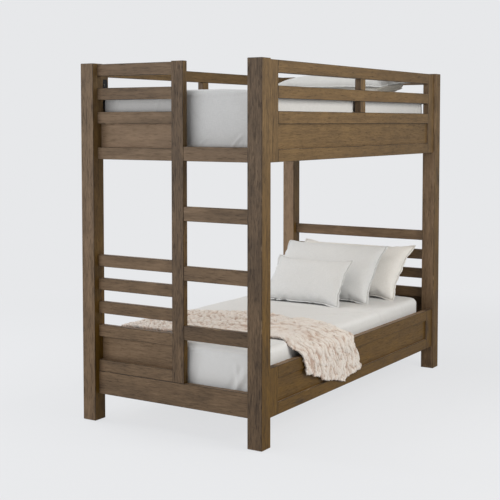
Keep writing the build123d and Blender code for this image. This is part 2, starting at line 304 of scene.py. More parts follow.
def pine(grain):
    material, tree, shader = newMaterial("supportPine" + grain, pineBoards["early"])
    point = objectPoint(tree)
    rings, fibre, boards = grainNoises(point, grain, pineBoards["noises"])
    tone = rings.between(*pineBoards["latewood"]) * 0.75 + (boards - 0.5) * 0.5 + (fibre - 0.5) * 0.2
    connect(tree, shader, {"Base Color": tone.mixed(pineBoards["early"], pineBoards["late"]),
                           "Roughness": 0.62 + (rings - 0.5) * 0.2, "Normal": fibre.bump(0.3, 0.0003)},
            {"Specular IOR Level": 0.35})
    return material


# Fixings, whose finish is rubbed in places

finishes = {
    # wear and relief are noises: features per metre, detail and roughness. Edge is where wear
    # starts and ends, and dulled what it adds to the roughness
    "bracketSteel": {
        "colour": rgb(16, 16, 18), "rubbed": rgb(38, 37, 37), "wear": ((60.0, 60.0, 60.0), 3.0, 0.6),
        "edge": (0.52, 0.75), "roughness": 0.55, "dulled": 0.20,
        "relief": ((1400.0, 1400.0, 1400.0), 2.0, 0.5), "strength": 0.35, "depth": 0.0002,
        "plain": {"Specular IOR Level": 0.2}},
    "boltSteel": {
        "colour": rgb(48, 47, 46), "rubbed": rgb(120, 117, 112), "wear": ((240.0, 240.0, 240.0), 2.0, 0.6),
        "edge": (0.5, 0.72), "roughness": 0.30, "dulled": 0.25,
        "relief": ((260.0, 260.0, 2600.0), 2.0, 0.5), "strength": 0.3, "depth": 0.0001,
        "plain": {"Metallic": 0.85}},
    "glideNylon": {
        "colour": rgb(58, 54, 50), "rubbed": rgb(92, 86, 80), "wear": ((140.0, 140.0, 60.0), 4.0, 0.6),
        "edge": (0.5, 0.7), "roughness": 0.5, "dulled": 0.2,
        "relief": ((140.0, 140.0, 60.0), 4.0, 0.6), "strength": 0.3, "depth": 0.0003, "plain": {}},
}


def rubbedFinish(name):
    facts = finishes[name]
    material, tree, shader = newMaterial(name, facts["colour"])
    point = objectPoint(tree)
    wear = point.cloud(*facts["wear"])
    relief = point.cloud(*facts["relief"])
    colour = wear.between(*facts["edge"]).mixed(facts["colour"], facts["rubbed"])
    connect(tree, shader, {"Base Color": colour, "Roughness": facts["roughness"] + wear * facts["dulled"],
                           "Normal": relief.bump(facts["strength"], facts["depth"])}, facts["plain"])
    return material


def grainOf(name):
    # posts and the short uprights run up, end boards and rungs across, side boards along
    if name.endswith(("_post", "_stiles")) or name == "guard_blocks":
        return "Z"
    if name.startswith(("foot_", "head_", "ladder_")):
        return "X"
    return "Y"


labels = {name: label for label, names in boardTones.items() for name in names}
unstained = {
    "corner_brackets": rubbedFinish("bracketSteel"),
    "bracket_bolts": rubbedFinish("boltSteel"),
    "floor_glides": rubbedFinish("glideNylon"),
    "low_support_slats": pine("X"),
    "support_cleats": pine("Y"),
}
unstained["upper_support_slats"] = unstained["low_support_slats"]
woods = {}
for name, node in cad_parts.items():
    kind = grainOf(name), labels.get(name, "")
    if name not in unstained and kind not in woods:
        woods[kind] = stainedWood(*kind)
    node.data.materials.clear()
    node.data.materials.append(unstained.get(name) or woods[kind])
print("frame finished in wood, steel and nylon")


# Fabrics. Each one reads the cloth's own map, laid out in metres

fabrics = {
    # colour, a darker tone for the weave's mottling that also serves as painted shade at seams, threads
    # per metre, slub from 0 smooth to 1 coarse, depth of soft crumples, sheen, and how dark the painted
    # seam shadow is
    "cottonSheet": (rgb(218, 218, 217), rgb(202, 201, 199), 900.0, 0.15, 0.004, 0.10, 0.0),
    "greySheet": (rgb(209, 209, 208), rgb(187, 187, 187), 620.0, 0.40, 0.004, 0.10, 0.0),
    "whiteLinen": (rgb(216, 217, 217), rgb(199, 200, 200), 620.0, 0.55, 0.003, 0.15, 0.32),
    "sandLinen": (rgb(226, 224, 220), rgb(209, 206, 201), 620.0, 0.65, 0.003, 0.15, 0.32),
    # the two on the upper bunk: darker copies, painted shade
    "shadedWhiteLinen": (rgb(196, 195, 192), rgb(180, 179, 176), 620.0, 0.55, 0.003, 0.10, 0.12),
    "shadedSandLinen": (rgb(196, 192, 184), rgb(180, 175, 166), 620.0, 0.65, 0.003, 0.10, 0.12),
}
weaving = {
    "seamShadow": rgb(100, 97, 91),
    # shares of the thread count: the long way of a thread, mottling and the weave's waves
    "threadLength": 0.05,
    "mottling": 0.22,
    "waves": 0.314,
    "crumplesPerMetre": (9.0, 9.0, 9.0),
    "relief": 0.0003,
    "roughness": 0.82,
}


def wovenCloth(name):
    colour, shade, threads, slub, crumpling, sheen, seamDepth = fabrics[name]
    material, tree, shader = newMaterial(name, colour)
    point = objectPoint(tree)
    cloth = Wire(tree).add("ShaderNodeUVMap", {"uv_map": "cloth"})
    long, coarse = threads * weaving["threadLength"], threads * weaving["mottling"]
    warp = cloth.cloud((threads, long, 1.0), 2.0, 0.6)
    weft = cloth.cloud((long, threads, 1.0), 2.0, 0.6)
    mottle = cloth.cloud((coarse, coarse, 1.0), 2.0, 0.6)
    over, under = [cloth.add("ShaderNodeTexWave", {"wave_type": "BANDS", "bands_direction": direction},
                             {"Vector": cloth, "Scale": threads * weaving["waves"]}, output=1)
                   for direction in "XY"]
    crumple = point.cloud(weaving["crumplesPerMetre"], 4.0, 0.6, 0.8)
    tone = ((warp + weft - 1.0) * (0.5 + slub) + (over + under - 1.0) * 0.10
            + (mottle - 0.5) * slub * 1.4 + (crumple - 0.5) * 0.4 + 0.35)
    # at seams the cloth is darkened: painted shade in the groove beside the flange
    seamShadeMask = cloth.add("ShaderNodeAttribute", {"attribute_name": "seam"}, output=2).between(0.45, 1.0)
    body = seamShadeMask.mixed(tone.mixed(colour, shade), shade)
    body = (seamShadeMask * seamDepth).mixed(body, weaving["seamShadow"])
    weave = ((over + under) * 0.4 + (warp + weft) * slub).bump(0.30, weaving["relief"])
    connect(tree, shader, {"Base Color": body, "Roughness": weaving["roughness"] + (warp - 0.5) * 0.2,
                           "Normal": crumple.bump(0.6, crumpling, weave)},
            {"Sheen Weight": sheen, "Sheen Roughness": 0.5, "Specular IOR Level": 0.2})
    return material


cloths = {name: wovenCloth(name) for name in fabrics}
print("fabrics made")


# Help for every piece of bedding

def newObject(name, shape, material):
    # a bmesh becomes an object
    mesh = bpy.data.meshes.new(name)
    shape.to_mesh(mesh)
    shape.free()
    mesh.materials.append(material)
    made = bpy.data.objects.new(name, mesh)
    scene.collection.objects.link(made)
    return made


def newPiece(name, shape, material):
    # an object that rides on the bed
    piece = newObject(name, shape, material)
    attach(piece, "root")
    return piece


def smoothShade(piece):
    piece.data.polygons.foreach_set("use_smooth", [True] * len(piece.data.polygons))
    piece.data.update()


def ease(share):
    # 0 below 0, 1 above 1, and smooth in the middle
    share = min(max(share, 0.0), 1.0)
    return share * share * (3 - 2 * share)


def doubled(shape, drop):
    # a second layer lower down, joined to the first all round
    copied = bmesh.ops.duplicate(shape, geom=shape.verts[:] + shape.edges[:] + shape.faces[:])["geom"]
    under = [part for part in copied if isinstance(part, bmesh.types.BMVert)]
    bmesh.ops.translate(shape, vec=(0, 0, -drop), verts=under)
    bmesh.ops.reverse_faces(shape, faces=[part for part in copied if isinstance(part, bmesh.types.BMFace)])
    return bmesh.ops.bridge_loops(shape, edges=[part for part in shape.edges if part.is_boundary])["edges"]


# Mattresses, in fitted sheets

mattresses = {
    # corner and rim are radii, crown is the rise of the top, and short what the head end lacks.
    # Folds are soft ridges in the sheet: start, end, width and height, from the middle of the
    # bottom edge at the foot: x across, y along and z up
    "low_mattress": {
        "sheet": "cottonSheet", "slot": "low_sheet", "corner": 0.058, "rim": 0.034, "crown": 0.004,
        "short": 0.014,
        "folds": [((0.06, 0.0, 0.238), (0.400, 0.0, 0.236), 0.007, 0.0060),
                  ((0.395, 0.0, 0.150), (0.315, 0.0, 0.010), 0.018, 0.0080),
                  ((0.345, 0.0, 0.175), (0.355, 0.0, 0.090), 0.012, 0.0040),
                  ((0.090, 0.0, 0.190), (0.030, 0.0, 0.010), 0.030, 0.0040),
                  ((0.300, 0.75, 0.265), (0.465, 1.45, 0.265), 0.022, 0.0028),
                  ((0.200, 0.95, 0.265), (0.470, 1.25, 0.265), 0.016, 0.0026),
                  ((0.482, 1.30, 0.265), (0.482, 1.42, 0.100), 0.012, 0.0030),
                  ((0.482, 1.62, 0.250), (0.482, 1.70, 0.050), 0.012, 0.0040)],
    },
    "upper_mattress": {
        "sheet": "greySheet", "slot": "upper_sheet", "corner": 0.028, "rim": 0.020, "crown": 0.007,
        "short": 0.0,
        "folds": [((0.100, 0.0, 0.000), (0.165, 0.0, 0.050), 0.007, 0.0030),
                  ((0.300, 0.0, 0.000), (0.360, 0.0, 0.060), 0.008, 0.0040),
                  ((0.390, 0.0, 0.000), (0.400, 0.0, 0.050), 0.007, 0.0035),
                  ((-0.010, 0.0, -0.010), (0.045, 0.0, 0.055), 0.008, 0.0045),
                  ((0.050, 0.0, 0.010), (0.085, 0.0, 0.035), 0.006, 0.0040),
                  ((0.020, 0.0, 0.262), (0.420, 0.0, 0.266), 0.005, 0.0030),
                  ((-0.462, 0.0, 0.190), (-0.458, 0.0, 0.290), 0.007, 0.0060),
                  ((-0.400, 0.0, 0.190), (-0.370, 0.0, 0.290), 0.010, 0.0040),
                  ((-0.140, 0.0, 0.180), (-0.110, 0.0, 0.270), 0.010, 0.0030),
                  ((0.482, 0.40, 0.080), (0.482, 0.55, 0.262), 0.010, 0.0028),
                  ((0.482, 0.62, 0.080), (0.482, 0.85, 0.262), 0.010, 0.0022),
                  ((0.482, 1.72, 0.060), (0.482, 1.82, 0.250), 0.010, 0.0050),
                  ((0.482, 1.79, 0.060), (0.482, 1.86, 0.240), 0.008, 0.0050)],
    },
}
fittedSheet = {
    "cell": 0.0085,
    # bumps per metre and their height
    "unevenness": ((5.0, 0.0016), (14.0, 0.0008)),
    # the crown grows over this share of the half width, and upwards from this height, -1 to 1
    "crownRun": 0.5,
    "crownFrom": -0.2,
    # shares of a fold's length: how far it runs on past its ends, and over what it fades
    "foldRun": 0.3,
    "foldFade": 0.5,
    # the dips beside a fold, as shares of it: how deep, and how far out
    "dipDepth": 0.6,
    "dipPlace": 1.6,
}


def fineBox(steps):
    # a box from -1 to 1, with this many cells along each side
    shape = bmesh.new()
    bmesh.ops.create_grid(shape, x_segments=steps[0], y_segments=steps[1], size=1.0)
    bmesh.ops.translate(shape, vec=(0, 0, 1), verts=shape.verts)
    sides = doubled(shape, 2)
    uprights = [part for part in sides if abs(part.verts[0].co.z - part.verts[1].co.z) > 1]
    bmesh.ops.subdivide_edges(shape, edges=uprights, cuts=steps[2] - 1)
    bmesh.ops.recalc_face_normals(shape, faces=shape.faces)
    return shape


def rounded(across, up):
    # a place in a square corner, taken to where it lies in a quarter circle
    if across > 0 and up > 0:
        share = max(across, up) / math.hypot(across, up)
        return across * share, up * share
    return across, up


def easedBox(spot, half, corner, rim):
    # a place on a box's surface, taken to where it lies once the corners and rims are rounded
    over = rounded(*[max(abs(spot[axis]) - half[axis] + corner, 0.0) for axis in (0, 1)])
    out = math.hypot(*over)
    edge = max(out - corner + rim, 0.0)
    pulled, up = rounded(edge, max(abs(spot.z) - half.z + rim, 0.0))
    for axis in (0, 1):
        if over[axis] > 0:
            reach = half[axis] - corner + over[axis] * (out - edge + pulled) / out
            spot[axis] = math.copysign(reach, spot[axis])
    if up > 0:
        spot.z = math.copysign(half.z - rim + up, spot.z)
    return spot


def onFold(spot, fold):
    # how much a soft ridge lifts this spot
    start, end, width, height = fold
    start, end = Vector(start), Vector(end)
    run = end - start
    share = (spot - start).dot(run) / run.length_squared
    more, slow = fittedSheet["foldRun"], fittedSheet["foldFade"]
    fade = ease((share + more) / slow) * ease((1 + more - share) / slow)
    if fade == 0:
        return 0.0
    away = (spot - start - run * share).length / width
    dip = fittedSheet["dipDepth"] * math.exp(-(away - fittedSheet["dipPlace"]) ** 2)
    return height * fade * (math.exp(-away ** 2) - dip)


def clothMap(mesh):
    # metres on the cloth: each face is laid flat along its main direction
    layer = mesh.uv_layers.new(name="cloth")
    for face in mesh.polygons:
        across = max(range(3), key=lambda axis: abs(face.normal[axis]))
        first, second = [axis for axis in range(3) if axis != across]
        for corner in face.loop_indices:
            spot = mesh.vertices[mesh.loops[corner].vertex_index].co
            layer.data[corner].uv = (spot[first], spot[second])


def mattress(name):
    facts = mattresses[name]
    low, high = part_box(name)
    high.y -= facts["short"]
    middle, half = (low + high) / 2, (high - low) / 2
    shape = fineBox([round(2 * reach / fittedSheet["cell"]) for reach in half])
    crownRun, crownFrom = fittedSheet["crownRun"], fittedSheet["crownFrom"]
    for vertex in shape.verts:
        spot = vertex.co
        crown = facts["crown"] * (ease((1 - abs(spot.x)) / crownRun)
                                  * ease((spot.z - crownFrom) / (1 - crownFrom)))
        spot = Vector([spot[axis] * half[axis] for axis in range(3)])
        vertex.co = easedBox(spot, half, facts["corner"], facts["rim"]) + middle + Vector((0, 0, crown))
    piece = newPiece(name + "_cover", shape, cloths[facts["sheet"]])
    foot = Vector((middle.x, low.y, low.z))
    moves = []
    for vertex in piece.data.vertices:
        lift = sum(noise.noise(vertex.co * bumps) * rise for bumps, rise in fittedSheet["unevenness"])
        lift += sum(onFold(vertex.co - foot, fold) for fold in facts["folds"])
        moves.append(vertex.normal * lift)
    for vertex, move in zip(piece.data.vertices, moves):
        vertex.co += move
        vertex.co.x = min(max(vertex.co.x, low.x), high.x)
        vertex.co.z = max(vertex.co.z, low.z)
    clothMap(piece.data)
    smoothShade(piece)
    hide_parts(name)


for name in mattresses:
    mattress(name)
print("mattresses made")


# Pillows: two rectangles of cloth sewn round their edges, filled, with a narrow flange

filling = {
    "step": 0.012,
    "rim": 0.003,
    "loose": 1.045,
    # the run of cloth that fills them, its frames, and the most that any place moves
    "cloth": {"quality": 5, "mass": 0.3, "tension_stiffness": 15.0, "compression_stiffness": 15.0,
              "shear_stiffness": 5.0, "bending_stiffness": 0.4, "use_pressure": True,
              "uniform_pressure_force": 4.0},
    "frames": 11,
    "cap": 0.090,
    "quickRise": 0.05,
    # how much of a seam's bow inwards is pulled straight again
    "straighten": 0.60,
    # where ears start, as shares of the half width and the half height
    "earStart": (0.70, 0.55),
    "flange": 0.012,
    # the flange's two steps: how far out, and how much painted seam shade is there
    "hem": ((0.25, 0.6), (0.75, 0.0)),
    "hemThickness": 0.0008,
    # bumps in and out per metre, as a share of it, and waves up and down, with heights
    "hemEdge": (30, 0.25),
    "hemWave": (26, 0.0022),
    # how near a corner it grows both ways
    "hemReach": 0.030,
}
pillows = {
    # height and thickness of the filled part, and lean in degrees from flat. Ears draw the
    # corners out. Top and bottom move the left and the right corners outwards.
    "back_pillow": {
        "cloth": "sandLinen", "slot": "sand_linen", "height": 0.430, "thick": 0.115, "lean": 43.0,
        "ears": 0.012, "top": (0.0, 0.004), "bottom": (0.0, 0.005)},
    "middle_pillow": {
        "cloth": "whiteLinen", "slot": "white_linen", "height": 0.490, "thick": 0.120, "lean": 37.5,
        "ears": 0.010, "top": (0.012, -0.039), "bottom": (0.0, 0.014)},
    "lumbar_pillow": {
        "cloth": "whiteLinen", "slot": "white_linen", "height": 0.352, "thick": 0.100, "lean": 44.0,
        "ears": 0.010, "top": (0.004, -0.027), "bottom": (0.005, 0.0)},
    # the upper two lie in a pile, full out to their edges and pressed level below and above. The
    # lower one is cut under at its right end, and the other one's edges droop
    "upper_back_pillow": {
        "cloth": "shadedSandLinen", "slot": "sand_linen", "height": 0.415, "thick": 0.110, "lean": 5.0,
        "ears": 0.0, "top": (0.0, 0.0), "bottom": (0.0, 0.0),
        "full": 0.6, "level": (-0.033, 0.033), "undercut": 0.120},
    "upper_front_pillow": {
        "cloth": "shadedWhiteLinen", "slot": "white_linen", "height": 0.415, "thick": 0.076, "lean": 5.0,
        "ears": 0.004, "top": (0.0, 0.0), "bottom": (0.0, 0.0),
        "full": 0.7, "level": (-0.033, 0.05), "droop": 0.028},
}


def pillowSize(name):
    low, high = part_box(name)
    hems = 2 * filling["flange"]
    return high.x - low.x - hems, pillows[name]["height"] - hems, pillows[name]["thick"]


def pillowCase(name):
    # sewn flat at the origin, a little loose
    width, height = [size * filling["loose"] for size in pillowSize(name)[:2]]
    shape = bmesh.new()
    bmesh.ops.create_grid(shape, x_segments=round(width / filling["step"]),
                          y_segments=round(height / filling["step"]), size=0.5)
    bmesh.ops.scale(shape, vec=(width, height, 1), verts=shape.verts)
    layer = shape.loops.layers.uv.new("cloth")
    for face in shape.faces:
        for corner in face.loops:
            corner[layer].uv = corner.vert.co.xy
    # the seam value marks the sewn edges, where the cloth gets painted shade
    seam = shape.verts.layers.float.new("seam")
    for vertex in shape.verts:
        vertex[seam] = 1.0 if vertex.is_boundary else 0.0
    doubled(shape, filling["rim"])
    bmesh.ops.recalc_face_normals(shape, faces=shape.faces)
    return newPiece(name + "_case", shape, cloths[pillows[name]["cloth"]])


def extent(mesh):
    spots = [vertex.co for vertex in mesh.vertices]
    return [Vector(map(pick, zip(*spots))) for pick in (min, max)]


def applied(piece):
    # the mesh as its modifiers leave it, and the modifiers are gone
    depsgraph = bpy.context.evaluated_depsgraph_get()
    mesh = bpy.data.meshes.new_from_object(piece.evaluated_get(depsgraph), preserve_all_data_layers=True,
                                           depsgraph=depsgraph)
    piece.modifiers.clear()
    piece.data = mesh
    return mesh


def inflate(pieces):
    # one run of cloth for all of them, each blown up from inside
    for piece in pieces:
        cloth = piece.modifiers.new("filling", "CLOTH")
        for setting, value in filling["cloth"].items():
            setattr(cloth.settings, setting, value)
        cloth.settings.effector_weights.gravity = 0
        cloth.collision_settings.use_collision = False
    for number in range(1, filling["frames"] + 1):
        scene.frame_set(number)
    cap = filling["cap"]
    for piece in pieces:
        start = [vertex.co.copy() for vertex in piece.data.vertices]
        for vertex, before in zip(applied(piece).vertices, start):
            step = vertex.co - before
            if step.length > cap:
                vertex.co = before + step * (cap / step.length)
    scene.frame_set(1)


def sewFlange(mesh, width, height):
    # beyond the seam the two cloths run on as a narrow double hem, a little wavy
    shape = bmesh.new()
    shape.from_mesh(mesh)
    seam = shape.verts.layers.float["seam"]
    hem = [face for face in shape.faces if all(vertex[seam] > 0.9 for vertex in face.verts)
           and abs(face.normal.z) < 0.7]
    outermost = filling["hem"][-1][0]
    edgeBumps, edgeBump = filling["hemEdge"]
    waves, wave = filling["hemWave"]
    for share, tone in filling["hem"]:
        grown = bmesh.ops.extrude_face_region(shape, geom=hem)["geom"]
        bmesh.ops.delete(shape, geom=[face for face in hem if face.is_valid], context="FACES_ONLY")
        hem = [part for part in grown if isinstance(part, bmesh.types.BMFace)]
        for vertex in {vertex for face in hem for vertex in face.verts}:
            spot = vertex.co
            # the seam value here sets how much painted seam shade the hem gets
            vertex[seam] = tone
            out = filling["flange"] * (1 + edgeBump * noise.noise(spot * edgeBumps))
            step = Vector((0, 0, wave * noise.noise(spot * waves)))
            for axis, reach in ((0, width / 2), (1, height / 2)):
                near = 1 - ease((reach - abs(spot[axis])) / filling["hemReach"])
                step[axis] = math.copysign(near, spot[axis]) * out
            vertex.co = spot + step * share
            if share == outermost:
                vertex.co.z += math.copysign(filling["hemThickness"], vertex.normal.z)
    # extruding numbers its parts differently each run, so they are put in order
    shape.verts.index_update()
    for parts in (shape.edges, shape.faces):
        order = sorted(parts, key=lambda part: sorted(vertex.index for vertex in part.verts))
        parts.sort(key={part: place for place, part in enumerate(order)}.get)
    shape.to_mesh(mesh)
    shape.free()


def toSize(name, mesh, start):
    # the filled part to its own width, height and thickness, with straighter seams
    near, far = extent(mesh)
    half, middle = (far - near) / 2, (far + near) / 2
    # where the seams ended up, at each place along them
    ends = {}
    for vertex, before in zip(mesh.vertices, start):
        for axis in (0, 1):
            place = axis, round(before[1 - axis], 4)
            ends[place] = max(ends.get(place, 0.0), abs(vertex.co[axis] - middle[axis]) / half[axis])
    width, height, thick = pillowSize(name)
    for vertex, before in zip(mesh.vertices, start):
        share = [(vertex.co[axis] - middle[axis]) / half[axis] for axis in range(3)]
        for axis in (0, 1):
            reach = max(ends[axis, round(before[1 - axis], 4)], 0.5)
            share[axis] *= 1 + filling["straighten"] * (1 / reach - 1)
        rise = math.copysign(abs(share[2]) ** pillows[name].get("full", 1.0), share[2])
        vertex.co = (share[0] * width / 2, share[1] * height / 2, rise * thick / 2)
    mesh.update()


def drape(name, mesh):
    # ears, corners, droop, and the levels that it is pressed between
    facts = pillows[name]
    width, height = pillowSize(name)[:2]
    under, over = facts.get("level", (-1, 1))
    earWide, earHigh = filling["earStart"]
    for vertex in mesh.vertices:
        wide, high = vertex.co.x / width * 2, vertex.co.y / height * 2
        side = 1 if wide > 0 else 0
        up = min(max((high + 1) / 2, 0.0), 1.0)
        ear = facts["ears"] * (ease((abs(wide) - earWide) / (1 - earWide))
                               * ease((abs(high) - earHigh) / (1 - earHigh)))
        vertex.co.x += (facts["bottom"][side] * (1 - up) + facts["top"][side] * up + ear) * wide
        vertex.co.y += math.copysign(ear, high)
        vertex.co.z -= facts.get("droop", 0.0) * max(abs(wide) ** 6, abs(high) ** 4)
        vertex.co.z = min(max(vertex.co.z, under), over)
        depth = 0.5 - vertex.co.z / (over - under)
        vertex.co.x -= facts.get("undercut", 0.0) * max(wide, 0.0) ** 3 * depth


def settle(name, piece, start):
    # to size, leant back, and set down on the mattress
    mesh = piece.data
    toSize(name, mesh, start)
    sewFlange(mesh, *pillowSize(name)[:2])
    drape(name, mesh)
    mesh.transform(Matrix.Rotation(math.radians(pillows[name]["lean"]), 4, "X"))
    low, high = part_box(name)
    mesh.transform(Matrix.Translation((low + high) / 2))
    if "level" not in pillows[name]:
        for vertex in mesh.vertices:
            vertex.co.z = max(vertex.co.z, low.z)
    smoothShade(piece)
    finer = piece.modifiers.new("finer", "SUBSURF")
    finer.levels = 1
    finer.render_levels = 1
    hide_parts(name)


cases = {name: pillowCase(name) for name in pillows}
starts = {name: [vertex.co.copy() for vertex in piece.data.vertices] for name, piece in cases.items()}
inflate(cases.values())
for name, piece in cases.items():
    settle(name, piece, starts[name])
print("pillows made")


# Throw, folded lengthwise and laid across the low bed, its end hanging over the right side

plush = {
    "flat": (0.635, 1.524),
    "thickness": 0.010,
    "steps": (150, 420),
    # pile colours for crests, slopes and valleys, the valleys' darkness partly painted shade
    "crest": rgb(219, 211, 203),
    "slope": rgb(206, 191, 179),
    "valley": rgb(174, 148, 131),
    # air under the cloth on the mattress and the rail, and beside the rail
    "gap": 0.004,
    "sideGap": 0.001,
    # how far below the rail's top the left end hangs, and where the path stops on the right
    "leftDrop": 0.130,
    "pathDrop": 0.22,
    # bends of its middle line: the rise at the bed's middle, and places across and up from the
    # mattress's edge and the rail's
    "middleRise": 0.003,
    "overMattress": ((-0.070, 0.0), (-0.026, -0.004), (0.006, -0.028)),
    "overRail": ((-0.006, 0.010), (0.0, -0.016)),
    # heights of the ruching and the soft folds, the ruching's middle level, and the lowest place
    "ruching": 0.0085,
    "middleLevel": 0.45,
    "folds": 0.0040,
    "lowest": -0.003,
    # the waved right end: depth, and its angle in radians per metre
    "scallop": 0.007,
    "scallopTurn": 205,
    # how far the right end hangs below the rail's top, from its front to its back corner
    "rightDrop": ((0.0, 0.098), (0.110, 0.108), (0.125, 0.122), (0.250, 0.136), (0.270, 0.158),
                  (0.54, 0.190), (0.66, 0.212), (0.69, 0.199), (0.77, 0.190), (0.91, 0.182),
                  (1.0, 0.184)),
    # distance of the long edges from the foot posts, at places along the throw
    "front": ((0.0, 0.130), (0.515, 0.135), (1.075, 0.275), (1.13, 0.278), (1.20, 0.262),
              (1.234, 0.283), (1.273, 0.314), (1.328, 0.336), (1.373, 0.354)),
    "back": ((0.0, 0.580), (0.35, 0.640), (0.50, 0.680), (0.64, 0.745), (0.80, 0.765),
             (0.92, 0.720), (0.947, 0.695), (0.982, 0.755), (1.02, 0.780), (1.147, 0.745),
             (1.19, 0.780), (1.24, 0.862), (1.29, 0.872), (1.381, 0.925), (1.44, 0.953)),
    # deep folds along the throw: where across it, from and to how far along, and how deep
    "creases": ((0.30, 0.85, 1.22, 0.006), (0.46, 1.05, 1.36, 0.007), (0.60, 1.02, 1.34, 0.007),
                (0.72, 1.08, 1.40, 0.006), (0.128, 1.27, 1.42, 0.010), (0.262, 1.22, 1.46, 0.012)),
    "creaseWidth": 0.016,
    "creaseFade": 0.08,
    "creaseShade": 80,
    # layers that lie one over another: where the edge is at the left and the right end, how far
    # along it stops, and how high it stands
    "layers": ((0.30, 0.41, 1.10, 0.005), (0.80, 0.57, 1.05, 0.007)),
    "layerStart": 0.20,
    "layerFade": 0.12,
    "layerEdge": 0.025,
    # the shade beside a layer: width, depth, where it starts and over what length
    "layerShade": (0.022, 0.6, 0.6, 0.3),
    # where gathers and loops turn into rows, over what length, and the same for the rows' lean,
    # with how far they lean
    "turned": (0.80, 0.12),
    "lean": (0.85, 0.40, 0.10),
    # depth of the main valleys, of the small ones and what the rows add to it, width of both, and
    # how much lower the left part is
    "mainDepth": 0.85,
    "beadDepth": (0.15, 0.30),
    "valleyWidth": 0.15,
    "leftDepth": 0.22,
    "foldShade": 0.15,
    # noise: features per metre in two directions, a level, and the height
    "patterns": {
        "sway": (14, 14, 4.0, 0.012),
        "rows": (44, 14, 1.7, 1.0),
        "gathers": (36, 13, 2.9, 1.0),
        "beads": (74, 36, 5.1, 1.0),
        "loops": (62, 40, 6.2, 0.9),
        "fluff": (170, 120, 9.3, 0.25),
        "softFolds": (12, 4, 3.3, 1.0),
        "scallops": (8, 0, 0.0, 3.0),
        "front": (60, 1, 0.0, 0.007),
        "back": (60, 9, 0.0, 0.009),
        "creases": (11, 9, 0.0, 0.016),
        "layers": (22, 1, 0.0, 0.012),
    },
}


def ruchedPile():
    # plush: pale on the crests of the ruching, rosy beige in its valleys, partly the pile's own colour and
    # partly painted shade; the crest value also carries painted shade in creases and beside layers and
    # painted light on soft folds
    material, tree, shader = newMaterial("ruchedPile", plush["crest"])
    cloth = Wire(tree).add("ShaderNodeUVMap", {"uv_map": "cloth"})
    crest = Wire(tree).add("ShaderNodeAttribute", {"attribute_name": "crest"}, output=2)
    fibres = cloth.cloud((520.0, 240.0, 1.0), 3.0, 0.65, 0.6)
    tufts = cloth.cloud((190.0, 90.0, 1.0), 3.0, 0.6, 0.5)
    depth = crest + (tufts - 0.5) * 0.50 + (fibres - 0.5) * 0.25
    stops = [(0.06, plush["valley"]), (0.50, plush["slope"]), (0.92, plush["crest"])]
    body = depth.add("ShaderNodeValToRGB", {"stops": stops}, {"Fac": depth})
    height = tufts * 0.7 + fibres * 0.3
    connect(tree, shader, {"Base Color": body, "Roughness": 0.85 + (fibres - 0.5) * 0.2,
                           "Normal": height.bump(0.75, 0.005)},
            {"Sheen Weight": 0.35, "Sheen Roughness": 0.6, "Specular IOR Level": 0.15})
    return material


def reading(place, steps):
    # the value at a place between the steps
    for (before, low), (after, high) in zip(steps, steps[1:]):
        if place <= after:
            return low + (high - low) * min(max((place - before) / (after - before), 0.0), 1.0)
    return steps[-1][1]


def throwPath():
    # the throw's middle line across the bed, from its left end to its right end
    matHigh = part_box("low_mattress")[1]
    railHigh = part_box("right_side_stiles")[1]
    half = plush["thickness"] / 2
    out = railHigh.x + plush["sideGap"] + half
    turn = railHigh.z + plush["gap"] + half
    top = matHigh.z + plush["gap"] + half
    right = [(0.0, top + plush["middleRise"])]
    right += [(matHigh.x + x, top + z) for x, z in plush["overMattress"]]
    right += [(out + x, turn + z) for x, z in plush["overRail"]]
    right += [(out, railHigh.z - plush["pathDrop"])]
    left = [(-x, z) for x, z in right[:0:-1]]
    left[0] = (left[0][0], railHigh.z - plush["leftDrop"])
    path = [Vector((x, 0, z)) for x, z in left + right]
    for _ in range(3):
        # corners cut off, so that the cloth bends round instead of creasing
        cut = [path[0]]
        for first, second in zip(path, path[1:]):
            cut += [first.lerp(second, 0.25), first.lerp(second, 0.75)]
        path = cut + [path[-1]]
    return path


def walk(path, distance):
    # the point at a distance along the path, and the way out from the bed there
    for first, second in zip(path, path[1:]):
        reach = (second - first).length
        if distance <= reach or second is path[-1]:
            heading = (second - first).normalized()
            return first + heading * distance, Vector((-heading.z, 0, heading.x))
        distance -= reach


def bell(distance, width):
    # 1 in the middle, and soon 0 beside it
    return math.exp(-(distance / width) ** 2)


def pattern(name, first, second):
    wide, long, level, height = plush["patterns"][name]
    return height * noise.noise(Vector((first * wide, second * long, level)))


def creaseDepth(across, distance):
    depth, slow = 0.0, plush["creaseFade"]
    for place, start, end, deep in plush["creases"]:
        fade = ease((distance - start) / slow) * ease((end - distance) / slow)
        away = across - place - pattern("creases", distance, place)
        depth += deep * fade * bell(away, plush["creaseWidth"])
    return depth


def layerRise(across, distance):
    # how much the layers above lift the pile, and the painted shade beside their edges
    width, depth, shadeStart, shadeFade = plush["layerShade"]
    layerStart, slow = plush["layerStart"], plush["layerFade"]
    rise = shade = 0.0
    for start, finish, end, high in plush["layers"]:
        place = start + (finish - start) * distance / end + pattern("layers", distance, start)
        fade = ease((end - distance) / slow) * ease((distance - layerStart) / slow)
        rise += high * fade * ease((across - place) / plush["layerEdge"])
        shade = max(shade, fade * bell(across - place, width))
    return rise, depth * shade * ease((distance - shadeStart) / shadeFade)


